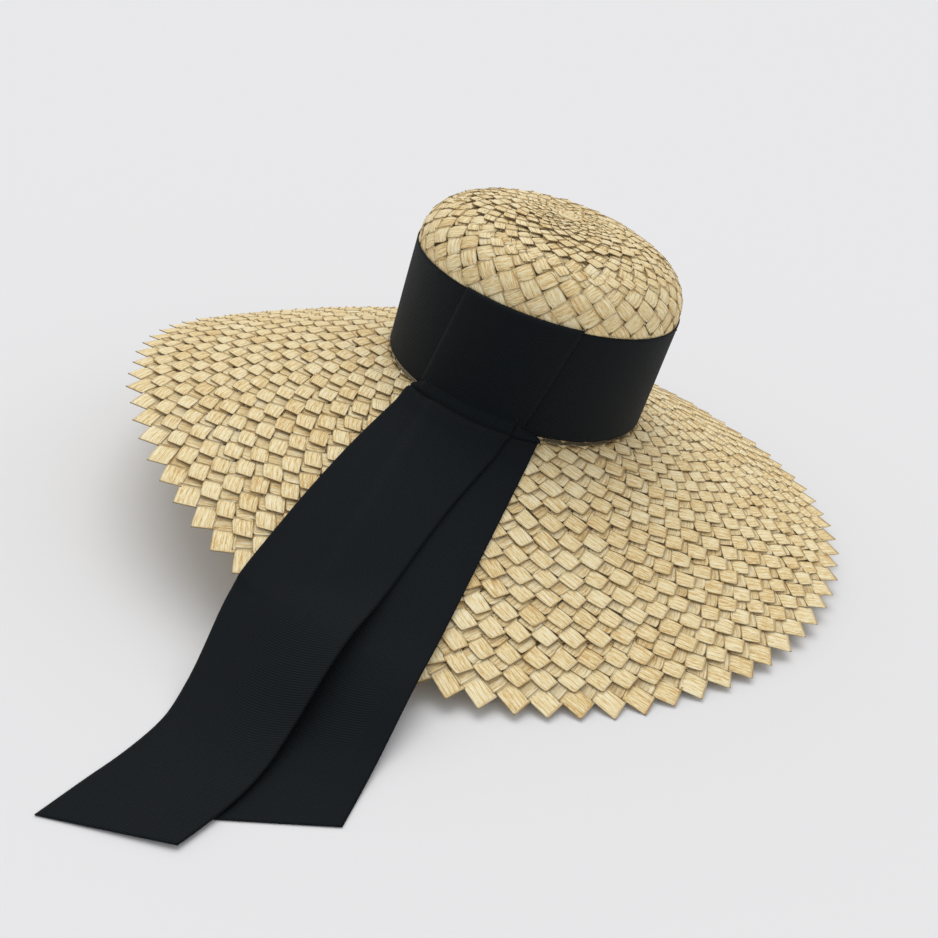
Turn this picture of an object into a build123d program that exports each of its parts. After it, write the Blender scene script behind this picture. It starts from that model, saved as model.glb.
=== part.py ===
"""Wide-brimmed straw sun hat with a broad grosgrain band and two ribbon tails.

Millimetres. +Z is the crown's axis, and the origin is the centre of the head opening, where the crown
meets the brim. +X is the wearer's front, and the ribbon tails run out over the brim along -Y.
"""
from build123d import *
from collections import namedtuple
from math import acos, atan2, cos, degrees, hypot, pi, radians, sin, tan
import os

# ---- crown ------------------------------------------------------------------------------------
crown_length = 195.0            # outside, front to back
crown_width = 185.0             # outside, side to side
crown_side_height = 84.0        # straight wall, from the head opening to the shoulder
crown_height = 127.0            # to the middle of the tip
straw_thickness = 3.0           # two overlapping rounds of plait
dome_squareness = 2.5           # exponent of the shoulder: 2 is an ellipse, higher is boxier
tip_button_radius = 7.0         # the start of the spiral of plait

# ---- brim: its drop below the head opening changes round the hat --------------------------------
brim_radius = 261.0             # to the last seam
edge_point_length = 13.0        # how far the folded straw points stand out past that seam
edge_point_count = 84
edge_point_gap = 3.0            # between the feet of two points
seam_gap = 0.1                  # between the last seam and the points' feet
drop_mean = 61.7
drop_lean = 9.1                # one side hangs lower than the other
drop_lean_angle = 148.7
drop_saddle = 15.6             # two opposite sides hang lower than the other two
drop_saddle_angle = 121.3
drop_wave = 6.6
drop_wave_angle = 46.8
brim_curl = -0.10               # negative is a brim that steepens towards its edge
brim_curl_swing = 0.19
brim_curl_angle = -14.2
plait_pitch = 12.4              # what shows of one round of plait

# ---- ribbon -------------------------------------------------------------------------------------
ribbon_width = 80.0
ribbon_thickness = 0.8
band_lift = 3.5                 # gap between the head opening's plane and the band's lower edge
wrap_bottom = 10.0              # lower edge of the upright wrap over the band
wrap_centre = 0.3               # middle of the wrap's lower edge, along X
wrap_lean = 10.5                # the wrap's sides lean from the crown's axis, in degrees
root_top = 18.0                 # how far up the tails' sewn-down roots reach under the wrap
root_bottom = 1.5

# ---- ribbon tails -----------------------------------------------------------------------------------
tail_start = 101.0              # from the crown's axis to the line that the tails lift about
tail_landing_slope = 0.03
tail_section_spacing = 16.0
tail_slope_reach = 5.0          # the stretch of brim that sets the slope at which a tail leaves it
tail_straw_gap = 2.8            # over the brim's own surface, clear of the relief of its plait
tail_ribbon_gap = 1.0           # between the two tails, where one lies on the other
Tail = namedtuple("Tail", "centre heading banking banked leaving landing end landing_height bank cut_slant")
# centre is its place along X at the start, and heading its turn from -Y towards +X, in degrees; from
# banking to banked it turns over sideways by bank, in degrees; leaving is where it goes off the brim,
# landing where it lies level again, and end where it is cut, all three and banking and banked measured
# outwards from the brim's last seam; cut_slant is how far its cut end leans from square, in degrees.
upper_tail = Tail(-9.0, 0.0, -46.0, 51.0, 16.0, 81.0, 167.0, -101.0, 20.0, 5.0)
lower_tail = Tail(14.0, 6.9, -46.0, 54.0, 19.0, 77.0, 111.0, -103.0, 7.0, 24.0)

# ---- sweatband and sewing ---------------------------------------------------------------------------
sweatband_width = 30.0
sweatband_thickness = 1.0
sweatband_lift = 2.0            # above the head opening's plane
join_overlap = 20.0             # the sweatband's lapped ends, at the back
join_thickness = 0.8
thread_size = 0.6
stitch_length = 4.0
stitch_gap = 0.3                # between the sweatband's stitches and the straw
sweatband_stitch_count = 48
band_tack_count = 6
band_tack_margin = 12.0         # from the wrap's upper corners to the nearest tack
brim_seam_count = 12
crown_seam_count = 4
crown_seam_pitch = 12.0
thread_gap = 0.05               # a thread lies this far off the straw

ring_samples = 24


def crown_radius(angle, inset=0.0):
    """Radius of the crown's oval at an angle in degrees, taken in by inset."""
    a, b = crown_length / 2 - inset, crown_width / 2 - inset
    return a * b / hypot(b * cos(radians(angle)), a * sin(radians(angle)))


def brim_drop(angle):
    """How far the last seam hangs below the head opening."""
    return (drop_mean + drop_lean * cos(radians(angle - drop_lean_angle))
            + drop_saddle * cos(radians(2 * (angle - drop_saddle_angle)))
            + drop_wave * cos(radians(3 * (angle - drop_wave_angle))))


def brim_height(angle, radius):
    """Height of the brim's upper face, a gentle parabola along each radius."""
    curl = brim_curl + brim_curl_swing * cos(radians(angle - brim_curl_angle))
    share = max(0.0, (radius - crown_radius(angle)) / (brim_radius - crown_radius(angle)))
    return -brim_drop(angle) * ((1 + curl) * share - curl * share * share)


def brim_height_at(x, y):
    """The same, at a point given by x and y."""
    return brim_height(degrees(atan2(y, x)), hypot(x, y))


def ring(radius_at, height_at, samples=ring_samples):
    """A closed smooth wire round the crown's axis; both arguments are functions of the angle."""
    points = []
    for i in range(samples):
        angle = 360.0 * i / samples
        radius = radius_at(angle)
        points.append((radius * cos(radians(angle)), radius * sin(radians(angle)), height_at(angle, radius)))
    return Wire([Edge.make_spline([Vector(*p) for p in points], periodic=True)])


def flat_ring(one, other):
    """The plane face between two rings at one height."""
    wide, narrow = sorted((one, other), key=lambda wire: -wire.length)
    return Face(wide, [narrow])


def closed_ring_solid(skins):
    """One solid from bands of skin: each skin is a list of rings, and the last ring of one is the
    first of the next, all the way round the section. A band of two rings at one height is flat."""
    faces = []
    for rings in skins:
        box = Compound(rings).bounding_box()
        if len(rings) == 2 and box.size.Z < 1e-6:
            faces.append(flat_ring(*rings))
        else:
            faces.extend(Shell.make_loft(rings, ruled=len(rings) == 2).faces())
    return Solid(Shell(faces)).fix()


def oval(inset):
    """The crown's oval outline, taken in by inset, or let out where inset is negative."""
    return Ellipse(crown_length / 2 - inset, crown_width / 2 - inset)


def oval_ring(inner_inset, thickness, bottom, height):
    """An upright oval hoop, thickness thick outwards from its inner face."""
    outline = oval(inner_inset - thickness) - oval(inner_inset)
    return Pos(0, 0, bottom) * extrude(outline, height)


def make_crown_wall():
    """The straight wall of sewn rounds."""
    return oval_ring(straw_thickness, straw_thickness, 0, crown_side_height)


def make_crown_tip():
    """Shoulder and tip: an oval shell whose section is a squared-off quarter ellipse."""
    rise = crown_height - crown_side_height

    def skin_ring(inset, turn):
        """A ring of the dome at one turn, from 0 at the wall to 90 degrees at the middle."""
        spread = cos(radians(turn)) ** (2 / dome_squareness)
        up = sin(radians(turn)) ** (2 / dome_squareness)
        level = Plane.XY.offset(crown_side_height + (rise - inset) * up)
        half_length, half_width = crown_length / 2 - inset, crown_width / 2 - inset
        return Wire([Edge.make_ellipse(half_length * spread, half_width * spread, level)])

    last = degrees(pi / 2 - (2 * tip_button_radius / crown_width) ** (dome_squareness / 2))
    turns = [0, 6, 15, 28, 42, 56, 68, 77, last]
    outer = [skin_ring(0, t) for t in turns]
    inner = [skin_ring(straw_thickness, t) for t in turns]
    return closed_ring_solid([outer, [outer[-1], inner[-1]], inner[::-1], [inner[0], outer[0]]])


def make_tip_button(crown_tip):
    """The flat coil that starts the spiral and closes the middle of the tip."""
    hole = crown_tip.faces().sort_by(lambda f: f.area)[0].bounding_box()
    block = Pos(0, 0, crown_height - straw_thickness / 2) * Ellipse(hole.size.X / 2, hole.size.Y / 2)
    slab = extrude(block, straw_thickness / 2, both=True)
    return (slab - crown_tip).solids().sort_by(lambda s: -s.volume)[0]


def make_brim():
    """The brim from under the crown's wall to its last seam."""
    shares = [0.0, 0.12, 0.3, 0.5, 0.7, 0.87, 1.0]

    def at_share(share, down):
        """A ring part of the way from the crown to the last seam."""
        return ring(lambda a: crown_radius(a) + (brim_radius - crown_radius(a)) * share,
                    lambda a, r: brim_height(a, r) - down)

    def opening(down):
        """The ring inside the crown's wall."""
        return ring(lambda a: crown_radius(a, straw_thickness), lambda a, r: -down)

    top = [at_share(s, 0) for s in shares]
    under = [at_share(s, straw_thickness) for s in reversed(shares)]
    mouth_top, mouth_under = opening(0), opening(straw_thickness)
    return closed_ring_solid([[mouth_top, top[0]], top, [top[-1], under[0]], under,
                              [under[-1], mouth_under], [mouth_under, mouth_top]])


def make_edge_points():
    """The folded straw points along the edge: a thin wedge for each, on the slope of the brim."""
    half_pitch = 180.0 / edge_point_count
    foot_radius = (brim_radius + seam_gap) / cos(radians(half_pitch))
    half_foot = half_pitch - degrees(edge_point_gap / 2 / brim_radius)
    points = []
    for i in range(edge_point_count):
        middle = 2 * half_pitch * i
        corners = []
        for angle, radius in ((middle - half_foot, foot_radius), (middle, brim_radius + edge_point_length),
                              (middle + half_foot, foot_radius)):
            corners.append(Vector(radius * cos(radians(angle)), radius * sin(radians(angle)),
                                  brim_height(angle, radius)))
        wedge = extrude(make_face(Polyline(*corners, close=True)), straw_thickness, dir=(0, 0, -1))
        points.append(wedge.solid())
    return Compound(points)


def front_panel(inner_inset, thickness, corners):
    """The stretch of an oval hoop inside an outline drawn on the XZ plane, on the -Y side."""
    heights = [z for _, z in corners]
    hoop = oval_ring(inner_inset, thickness, min(heights), max(heights) - min(heights))
    outline = make_face(Polyline(*[(x, 0, z) for x, z in corners], close=True))
    return (hoop & extrude(outline, crown_width, dir=(0, -1, 0))).solid()


def make_band_front_wrap():
    """The upright ribbon over the band, folded over the band's upper edge."""
    half = ribbon_width / 2
    band_top = band_lift + ribbon_width
    shift = (band_top - wrap_bottom) * tan(radians(wrap_lean))
    low, high = wrap_centre - half, wrap_centre + half
    corners = [(low, wrap_bottom), (high, wrap_bottom), (high + shift, band_top), (low + shift, band_top)]
    upright = front_panel(-3 * ribbon_thickness, ribbon_thickness, corners)
    flap_corners = [(low + shift, band_top), (high + shift, band_top),
                    (high + shift, band_top + ribbon_thickness), (low + shift, band_top + ribbon_thickness)]
    flap = front_panel(0, 4 * ribbon_thickness, flap_corners)
    return (upright + flap).solid()


def make_tail_root(centre, layer):
    """The sewn-down start of a tail: it comes out from under the wrap, layer ribbons off the band."""
    half = ribbon_width / 2
    corners = [(centre - half, root_bottom), (centre + half, root_bottom),
               (centre + half, root_top), (centre - half, root_top)]
    return front_panel(-layer * ribbon_thickness, ribbon_thickness, corners)


def smooth_step(value):
    """0 below 0, 1 above 1, and a smooth S between."""
    t = min(1.0, max(0.0, value))
    return t * t * (3 - 2 * t)


def over_brim(x, y):
    """The lowest that a tail may lie over the brim."""
    return brim_height_at(x, y) + tail_straw_gap


def tail_axes(tail):
    """A point on the tail's middle line over the crown's axis, its heading, and the way across it."""
    aim = radians(tail.heading)
    along = Vector(sin(aim), -cos(aim), 0)
    return Vector(tail.centre, -tail_start, 0) - along * tail_start, along, Vector(cos(aim), sin(aim), 0)


def tail_line(tail, beneath):
    """How a tail lies: a function from the distance along it to the height of its middle and its
    slope across. It rests on what is beneath it, then falls in a Hermite curve, then lies level."""
    origin, along, across = tail_axes(tail)

    def slope_at(distance):
        """The slope of the brim across the tail, and past that the tail's own bank."""
        left, right = (origin + along * distance + across * (side * ribbon_width / 2) for side in (-1, 1))
        brim_slope = (brim_height_at(right.X, right.Y) - brim_height_at(left.X, left.Y)) / ribbon_width
        share = smooth_step((distance - brim_radius - tail.banking) / (tail.banked - tail.banking))
        return brim_slope + (tan(radians(tail.bank)) - brim_slope) * share

    def rest(distance):
        """Flat across, and touching the highest of nine places under it."""
        slope = slope_at(distance)
        offsets = [ribbon_width * k / 8 for k in range(-4, 5)]
        places = [origin + along * distance + across * offset for offset in offsets]
        return max(beneath(p.X, p.Y) - slope * offset for p, offset in zip(places, offsets))

    edge = brim_radius + tail.leaving
    run = tail.landing - tail.leaving
    edge_height = rest(edge)
    leaving = (edge_height - rest(edge - tail_slope_reach)) / tail_slope_reach * run
    landing = tail_landing_slope * run

    def lie(distance):
        """Height of the middle and slope across, anywhere along the tail."""
        if distance <= edge:
            return rest(distance), slope_at(distance)
        t = (distance - edge) / run
        if t >= 1:
            return tail.landing_height + landing * (t - 1), slope_at(distance)
        height = ((2 * t**3 - 3 * t**2 + 1) * edge_height + (t**3 - 2 * t**2 + t) * leaving
                  + (3 * t**2 - 2 * t**3) * tail.landing_height + (t**3 - t**2) * landing)
        return height, slope_at(distance)

    return lie


def over_lower_tail(x, y):
    """The lowest that the upper tail may lie: over the brim, and over the lower tail where that is."""
    origin, along, across = tail_axes(lower_tail)
    place = Vector(x, y, 0) - origin
    distance, offset = place.dot(along), place.dot(across)
    if abs(offset) > ribbon_width / 2:
        return over_brim(x, y)
    height, slope = tail_line(lower_tail, over_brim)(distance)
    return max(over_brim(x, y), height + slope * offset + ribbon_thickness + tail_ribbon_gap)


def make_tail(tail, beneath):
    """A ribbon tail, as a loft through thin rectangular sections square to its line."""
    origin, along, across = tail_axes(tail)
    lie = tail_line(tail, beneath)
    half_width = ribbon_width / 2
    length = brim_radius + tail.end - tail_start
    count = round(length / tail_section_spacing)
    sections = []
    for i in range(count + 1):
        distance = tail_start + length * i / count
        height, slope = lie(distance)
        rise = lie(distance + 1)[0] - height
        middle = origin + along * distance + Vector(0, 0, height)
        side = (across + Vector(0, 0, slope)).normalized()
        forward = (along + Vector(0, 0, rise)).normalized()
        normal = side.cross(forward).normalized()
        normal = normal if normal.Z > 0 else -normal
        slant = forward * (tan(radians(tail.cut_slant)) * half_width if i == count else 0.0)
        left = middle - side * half_width + slant
        right = middle + side * half_width - slant
        lift = normal * ribbon_thickness
        sections.append(Wire.make_polygon([left, right, right + lift, left + lift], close=True))
    return Solid.make_loft(sections, ruled=False)


def upright_bars(angles, inset, reach, bottom, height):
    """Small upright blocks at angles in degrees round the oval, square to it, with their outer faces at
    inset."""
    a, b = crown_length / 2, crown_width / 2
    bars = []
    for angle in angles:
        x, y = (crown_radius(angle) * trig(radians(angle)) for trig in (cos, sin))
        facing = degrees(atan2(y / b**2, x / a**2))
        block = Pos(-inset - reach / 2, 0, bottom + height / 2) * Box(reach, stitch_length, height)
        bars.append((Pos(x, y, 0) * Rot(0, 0, facing) * block).solid())
    return Compound(bars)


def make_band_tacks(reach):
    """The tacks along the band's upper edge, spread over the arc that the wrap leaves free."""
    band_top = band_lift + ribbon_width
    shift = (band_top - wrap_bottom) * tan(radians(wrap_lean))
    corners = [wrap_centre + shift + side * (ribbon_width / 2 + band_tack_margin) for side in (1, -1)]
    first, last = (degrees(acos(x / crown_radius(-90))) for x in corners)
    free = 360 - (last - first)
    angles = [-first + free * i / (band_tack_count - 1) for i in range(band_tack_count)]
    return upright_bars(angles, -ribbon_thickness, reach, band_top, thread_size)


def make_sweatband_join():
    """The lapped ends of the sweatband, at the back of the head."""
    inner = straw_thickness + sweatband_thickness + join_thickness
    hoop = oval_ring(inner, join_thickness, sweatband_lift, sweatband_width)
    patch = Pos(-crown_length / 2, 0, sweatband_lift + sweatband_width / 2) * Box(
        crown_length / 2, join_overlap, 2 * sweatband_width)
    return (hoop & patch).solid()


def make_brim_thread():
    """The seams between the rounds, seen from below as fine loops of thread."""
    loops = []
    for k in range(1, brim_seam_count + 1):
        seam = brim_radius - k * plait_pitch

        def loop_ring(out, down, seam=seam):
            """One edge of a thread loop."""
            return ring(lambda a: seam + out,
                        lambda a, r: brim_height(a, r) - straw_thickness - thread_gap - down)

        corners = [loop_ring(0, 0), loop_ring(thread_size, 0), loop_ring(thread_size, thread_size),
                   loop_ring(0, thread_size)]
        loops.append(closed_ring_solid([[corners[i], corners[(i + 1) % 4]] for i in range(4)]))
    return Compound(loops)


def make_crown_thread():
    """The seams of the crown's wall, as fine loops of thread inside it, above the sweatband."""
    loops = []
    for k in range(crown_seam_count):
        height = sweatband_lift + sweatband_width + crown_seam_pitch * (k + 0.5)
        inset = straw_thickness + thread_gap + thread_size
        loops.append(oval_ring(inset, thread_size, height, thread_size).solid())
    return Compound(loops)


def make_wrap_tacks():
    """Two tacks under the wrap's lower corners, through all the layers of ribbon."""
    reach = degrees(atan2(ribbon_width / 2 - stitch_length, crown_width / 2))
    return upright_bars([-90 - reach, -90 + reach], -4 * ribbon_thickness, thread_size,
                        wrap_bottom - thread_size, thread_size)


def make_sweatband_stitches():
    """The stitches along the sweatband's lower edge."""
    angles = [360.0 * i / sweatband_stitch_count for i in range(sweatband_stitch_count)]
    return upright_bars(angles, straw_thickness + stitch_gap, thread_size, sweatband_lift - thread_size,
                        thread_size)


def make_parts():
    """Every node, by name."""
    crown_tip = make_crown_tip()
    return {
        "crown_tip": crown_tip,
        "tip_button": make_tip_button(crown_tip),
        "crown_wall": make_crown_wall(),
        "brim": make_brim(),
        "edge_points": make_edge_points(),
        "hat_band": oval_ring(0, ribbon_thickness, band_lift, ribbon_width),
        "band_front_wrap": make_band_front_wrap(),
        "tail_root_lower": make_tail_root(lower_tail.centre, 1),
        "tail_root_upper": make_tail_root(upper_tail.centre, 2),
        "tail_lower": make_tail(lower_tail, over_brim),
        "tail_upper": make_tail(upper_tail, over_lower_tail),
        "sweatband": oval_ring(straw_thickness + sweatband_thickness, sweatband_thickness, sweatband_lift,
                               sweatband_width),
        "sweatband_join": make_sweatband_join(),
        "sweatband_stitches": make_sweatband_stitches(),
        "band_tacks": make_band_tacks(thread_size),
        "wrap_tacks": make_wrap_tacks(),
        "brim_thread": make_brim_thread(),
        "crown_thread": make_crown_thread(),
    }


os.makedirs("parts", exist_ok=True)
for name, shape in make_parts().items():
    export_step(shape, f"parts/{name}.step")
    print(name, len(shape.solids()), round(shape.volume, 1))
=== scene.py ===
"""Looks of the straw sun hat: sewn rounds of straw plait, a grosgrain band, two ribbon tails, a sweatband.

Metres, in the hat's own frame: +Z is the crown's axis, the origin is the centre of the head opening, +X is
the wearer's front, and the tails run out over the brim along -Y.
"""
import logging
from dataclasses import dataclass, field
from enum import Enum
from math import acos, atan, pi, radians, tan
from typing import Any, Callable, Dict, Optional, Sequence, Tuple

import bpy
import numpy as np
from mathutils import Matrix, Vector


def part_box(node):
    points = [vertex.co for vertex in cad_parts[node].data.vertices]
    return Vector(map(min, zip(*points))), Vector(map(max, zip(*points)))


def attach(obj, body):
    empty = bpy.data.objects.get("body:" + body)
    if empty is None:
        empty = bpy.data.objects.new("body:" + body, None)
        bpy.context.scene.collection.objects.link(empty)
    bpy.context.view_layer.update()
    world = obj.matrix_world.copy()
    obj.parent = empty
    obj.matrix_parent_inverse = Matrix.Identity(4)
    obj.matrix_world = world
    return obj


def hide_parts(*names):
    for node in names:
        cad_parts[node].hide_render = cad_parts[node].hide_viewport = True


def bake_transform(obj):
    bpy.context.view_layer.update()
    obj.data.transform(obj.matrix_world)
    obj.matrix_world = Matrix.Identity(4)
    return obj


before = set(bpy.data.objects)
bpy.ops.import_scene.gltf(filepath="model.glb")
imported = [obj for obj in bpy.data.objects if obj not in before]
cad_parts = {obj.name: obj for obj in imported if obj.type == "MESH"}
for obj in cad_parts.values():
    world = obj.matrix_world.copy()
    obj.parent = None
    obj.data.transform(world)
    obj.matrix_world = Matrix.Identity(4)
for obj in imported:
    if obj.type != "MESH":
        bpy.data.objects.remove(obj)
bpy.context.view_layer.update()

log = logging.getLogger("sun_hat")
MM = 0.001
Array = np.ndarray
Points = Sequence[Tuple[float, float]]


class Body(Enum):
    """The three bodies of the part; only the hat's has pieces riding on it here."""

    HAT = "hat"
    LOWER_TAIL = "lower_ribbon_tail"
    UPPER_TAIL = "upper_ribbon_tail"


class Slot(Enum):
    """The material slots of the part."""

    STRAW = "straw"
    RIBBON = "ribbon"
    SWEATBAND = "sweatband"
    STRAW_THREAD = "straw_thread"
    DARK_THREAD = "dark_thread"


# ---- small helpers ------------------------------------------------------------------------------------


def smooth_step(value: Array) -> Array:
    """0 below 0, 1 above 1, and 3t^2 - 2t^3 between."""
    t = np.clip(value, 0.0, 1.0)
    return t * t * (3 - 2 * t)


def smooth_max(one: Array, other: Array, width: float) -> Array:
    """The larger of two, rounded where they cross: the mean plus half the root of difference^2 + width^2."""
    return 0.5 * (one + other + np.sqrt((one - other) ** 2 + width * width)) - 0.25 * width


def through(knots: Points, at: Array) -> Array:
    """A smooth line through given knots, as a Hermite curve with the slopes of each knot's neighbours.

    Args:
        knots: (place, value) pairs in rising order of place.
        at: where the line is read.

    Returns:
        The line's value at each place; level past the ends.
    """
    x, y = np.array(knots, float).T
    slope = np.gradient(y, x)
    at = np.clip(at, x[0], x[-1])
    i = np.clip(np.searchsorted(x, at, side="right") - 1, 0, len(x) - 2)
    run = x[i + 1] - x[i]
    t = (at - x[i]) / run
    return ((2 * t**3 - 3 * t**2 + 1) * y[i] + (t**3 - 2 * t**2 + t) * run * slope[i]
            + (3 * t**2 - 2 * t**3) * y[i + 1] + (t**3 - t**2) * run * slope[i + 1])


def polar(angle: Array, radius: Array, height: Array) -> Array:
    """Points at an angle, a radius and a height: radius cos, radius sin, height."""
    return np.stack([radius * np.cos(angle), radius * np.sin(angle), height], -1)


def unit(vectors: Array) -> Array:
    """The vectors at length one."""
    return vectors / np.maximum(np.linalg.norm(vectors, axis=-1, keepdims=True), 1e-12)


@dataclass
class MeshData:
    """Arrays of one mesh: points, quads, the cloth's own coordinates, and named shares on the points."""

    points: Array
    faces: Array
    uv: Array
    shares: Dict[str, Array] = field(default_factory=dict)

    @staticmethod
    def joined(parts: Sequence["MeshData"]) -> "MeshData":
        """Several meshes as one, with the face numbers moved up."""
        starts = np.cumsum([0] + [len(p.points) for p in parts[:-1]])
        return MeshData(
            np.concatenate([p.points for p in parts]),
            np.concatenate([p.faces + start for p, start in zip(parts, starts)]),
            np.concatenate([p.uv for p in parts]),
            {name: np.concatenate([p.shares[name] for p in parts]) for name in parts[0].shares},
        )


def make_object(name: str, data: MeshData, material: bpy.types.Material) -> bpy.types.Object:
    """Puts the arrays into a smooth-shaded mesh object at the origin.

    Args:
        name: the piece's name.
        data: the arrays, in metres.
        material: its finish.

    Returns:
        The new object, linked to the scene.
    """
    mesh = bpy.data.meshes.new(name)
    mesh.from_pydata(data.points.astype(np.float32), [], data.faces.astype(np.int32))
    mesh.update()
    loops = np.zeros(len(mesh.loops), np.int32)
    mesh.loops.foreach_get("vertex_index", loops)
    layer = mesh.uv_layers.new(name="cloth")
    layer.data.foreach_set("uv", data.uv[loops].astype(np.float32).ravel())
    for share, values in data.shares.items():
        attribute = mesh.attributes.new(share, "FLOAT", "POINT")
        attribute.data.foreach_set("value", values.astype(np.float32))
    mesh.polygons.foreach_set("use_smooth", np.ones(len(mesh.polygons), bool))
    mesh.materials.append(material)
    piece = bpy.data.objects.new(name, mesh)
    bpy.context.scene.collection.objects.link(piece)
    return piece


def grid_faces(rows: int, columns: int, loop: bool = False) -> Array:
    """Quads of a grid of points in row order; a loop joins the last row to the first."""
    index = np.arange(rows * columns).reshape(rows, columns)
    here, after = (index, np.roll(index, -1, 0)) if loop else (index[:-1], index[1:])
    return np.stack([here[:, :-1], here[:, 1:], after[:, 1:], after[:, :-1]], -1).reshape(-1, 4)


def cloth_slab(middle: Array, thickness: float, loop: bool = False) -> MeshData:
    """A ribbon as a closed slab: the grid moved half a thickness each way along its normals, and a rim.

    Args:
        middle: points (rows along the ribbon, columns across it, 3) of its middle face.
        thickness: the cloth's thickness.
        loop: whether the ribbon's last row joins its first.

    Returns:
        The slab, with millimetres along and across as its cloth coordinates.
    """
    rows, columns = middle.shape[:2]
    if loop:
        along = np.roll(middle, -1, 0) - np.roll(middle, 1, 0)
        steps = np.linalg.norm(np.roll(middle, -1, 0) - middle, axis=2)
        run = np.concatenate([np.zeros((1, columns)), np.cumsum(steps, 0)[:-1]])
    else:
        along = np.gradient(middle, axis=0)
        steps = np.linalg.norm(np.diff(middle, axis=0), axis=2)
        run = np.concatenate([np.zeros((1, columns)), np.cumsum(steps, 0)])
    across = np.gradient(middle, axis=1)
    normal = unit(np.cross(across, along))
    spread = np.linalg.norm(np.diff(middle, axis=1), axis=2)
    width = np.concatenate([np.zeros((rows, 1)), np.cumsum(spread, 1)], 1)
    top = middle + normal * thickness / 2
    under = middle - normal * thickness / 2
    count = rows * columns
    face = grid_faces(rows, columns, loop)
    index = np.arange(count).reshape(rows, columns)
    after = np.roll(index, -1, 0) if loop else index[1:]
    here = index if loop else index[:-1]
    left = np.stack([here[:, 0], after[:, 0], after[:, 0] + count, here[:, 0] + count], -1)
    right = np.stack([after[:, -1], here[:, -1], here[:, -1] + count, after[:, -1] + count], -1)
    parts = [face[:, ::-1], face + count, left[:, ::-1], right[:, ::-1]]
    if not loop:
        first, last = index[0], index[-1]
        parts.append(np.stack([first[:-1], first[1:], first[1:] + count, first[:-1] + count], -1))
        parts.append(np.stack([last[1:], last[:-1], last[:-1] + count, last[1:] + count], -1))
    uv = np.stack([run / MM, width / MM], -1).reshape(-1, 2)
    points = np.concatenate([top.reshape(-1, 3), under.reshape(-1, 3)])
    edge = np.minimum(width, width[:, -1:] - width).reshape(-1) / MM
    return MeshData(points, np.concatenate(parts), np.concatenate([uv, uv]),
                    {"selvedge": np.concatenate([edge, edge])})


# ---- finishes -------------------------------------------------------------------------------------------


def linear(colour: str) -> Tuple[float, float, float, float]:
    """An sRGB hex colour as linear RGBA."""
    channels = [int(colour.lstrip("#")[i:i + 2], 16) / 255 for i in (0, 2, 4)]
    return (*(c / 12.92 if c <= 0.04045 else ((c + 0.055) / 1.055) ** 2.4 for c in channels), 1.0)


def add_node(tree: bpy.types.NodeTree, kind: str, links: Optional[Dict[Any, Any]] = None,
             **settings: Any) -> bpy.types.Node:
    """Adds a node with its settings, and fills its inputs.

    Args:
        tree: the material's node tree.
        kind: the node's type.
        links: input name or number to an output socket, or to a plain value.
        settings: the node's own properties.

    Returns:
        The node.
    """
    node = tree.nodes.new(kind)
    for name, value in settings.items():
        setattr(node, name, value)
    for socket, source in (links or {}).items():
        if isinstance(source, bpy.types.NodeSocket):
            tree.links.new(source, node.inputs[socket])
        else:
            node.inputs[socket].default_value = source
    return node


def new_material(name: str) -> Tuple[bpy.types.Material, bpy.types.NodeTree]:
    """An empty node material."""
    material = bpy.data.materials.new(name)
    material.use_nodes = True
    material.node_tree.nodes.clear()
    return material, material.node_tree


def colour_ramp(tree: bpy.types.NodeTree, factor: Any, stops: Sequence[Tuple[float, str]]) -> Any:
    """A colour ramp through hex colours, and its colour output."""
    node = add_node(tree, "ShaderNodeValToRGB", {"Fac": factor})
    ramp = node.color_ramp
    for place, colour in stops[2:]:
        ramp.elements.new(place)
    for element, (place, colour) in zip(ramp.elements, sorted(stops)):
        element.position = place
        element.color = linear(colour)
    return node.outputs["Color"]


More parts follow.
